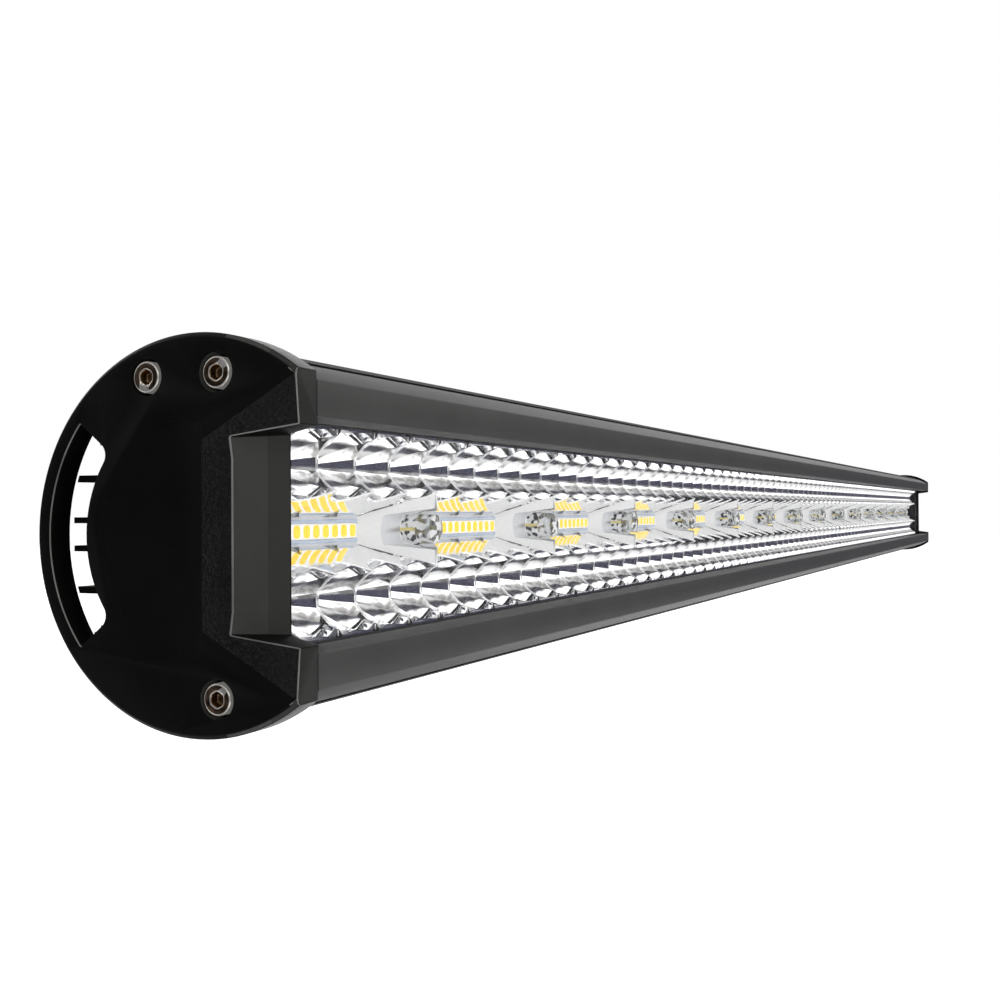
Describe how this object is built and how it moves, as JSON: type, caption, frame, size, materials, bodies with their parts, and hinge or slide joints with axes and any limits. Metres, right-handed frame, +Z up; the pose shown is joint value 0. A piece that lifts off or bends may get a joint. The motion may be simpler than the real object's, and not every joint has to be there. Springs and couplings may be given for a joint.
{
  "type": "led light bar",
  "caption": "Straight LED light bar: finned round-back housing, scooped end plates, and three rows of reflector cups, chip strips and projector lenses behind one clear cover.",
  "frame": {"origin": "centre of the mouth of the rear T-slot, at mid-length", "axes": "+X along the bar, -Y is the way the light shines, +Z up; +Y is the way a mounting bolt leaves the T-slot"},
  "size_m": [1.34, 0.0706, 0.088],
  "materials": {
    "housing_black": "satin black powder coat",
    "rail_black": "satin black powder coat",
    "plate_black": "fine-textured black powder coat on die-cast aluminium",
    "screw_steel": "stainless steel",
    "cover_clear": "clear polycarbonate",
    "seal_rubber": "matt silicone",
    "reflector_mirror": "vacuum-metallised mirror",
    "lens_clear": "clear optical plastic",
    "board_white": "white solder mask on an aluminium-core board",
    "led_phosphor": "yellow phosphor in a white package",
    "solder_metal": "tinned strip",
    "board_green": "green solder mask",
    "driver_plastic": "moulded component bodies",
    "lead_red": "silicone-insulated wire",
    "gland_nylon": "black nylon"
  },
  "bodies": {
    "root": {"housing": "housing_black", "upper_front_rail": "rail_black", "lower_front_rail": "rail_black", "end_plate_left": "plate_black", "end_plate_right": "plate_black", "end_gasket_left": "seal_rubber", "end_gasket_right": "seal_rubber", "end_screws_left": "screw_steel", "end_screws_right": "screw_steel", "front_cover": "cover_clear", "cover_gasket": "seal_rubber", "reflector_1": "reflector_mirror", "reflector_2": "reflector_mirror", "reflector_3": "reflector_mirror", "reflector_4": "reflector_mirror", "reflector_5": "reflector_mirror", "reflector_6": "reflector_mirror", "reflector_7": "reflector_mirror", "projector_lenses_1": "lens_clear", "projector_lenses_2": "lens_clear", "projector_lenses_3": "lens_clear", "projector_lenses_4": "lens_clear", "projector_lenses_5": "lens_clear", "projector_lenses_6": "lens_clear", "projector_lenses_7": "lens_clear", "led_board_1": "board_white", "led_board_2": "board_white", "led_board_3": "board_white", "led_board_4": "board_white", "led_board_5": "board_white", "led_board_6": "board_white", "led_board_7": "board_white", "cup_leds_1": "led_phosphor", "cup_leds_2": "led_phosphor", "cup_leds_3": "led_phosphor", "cup_leds_4": "led_phosphor", "cup_leds_5": "led_phosphor", "cup_leds_6": "led_phosphor", "cup_leds_7": "led_phosphor", "strip_leds_1": "led_phosphor", "strip_leds_2": "led_phosphor", "strip_leds_3": "led_phosphor", "strip_leds_4": "led_phosphor", "strip_leds_5": "led_phosphor", "strip_leds_6": "led_phosphor", "strip_leds_7": "led_phosphor", "board_links": "solder_metal", "board_screws": "screw_steel", "driver_board": "board_green", "driver_parts": "driver_plastic", "supply_leads": "lead_red", "gland_body": "gland_nylon", "gland_seal": "seal_rubber", "gland_nut": "gland_nylon", "breather_valve": "gland_nylon"}
  },
  "joints": []
}
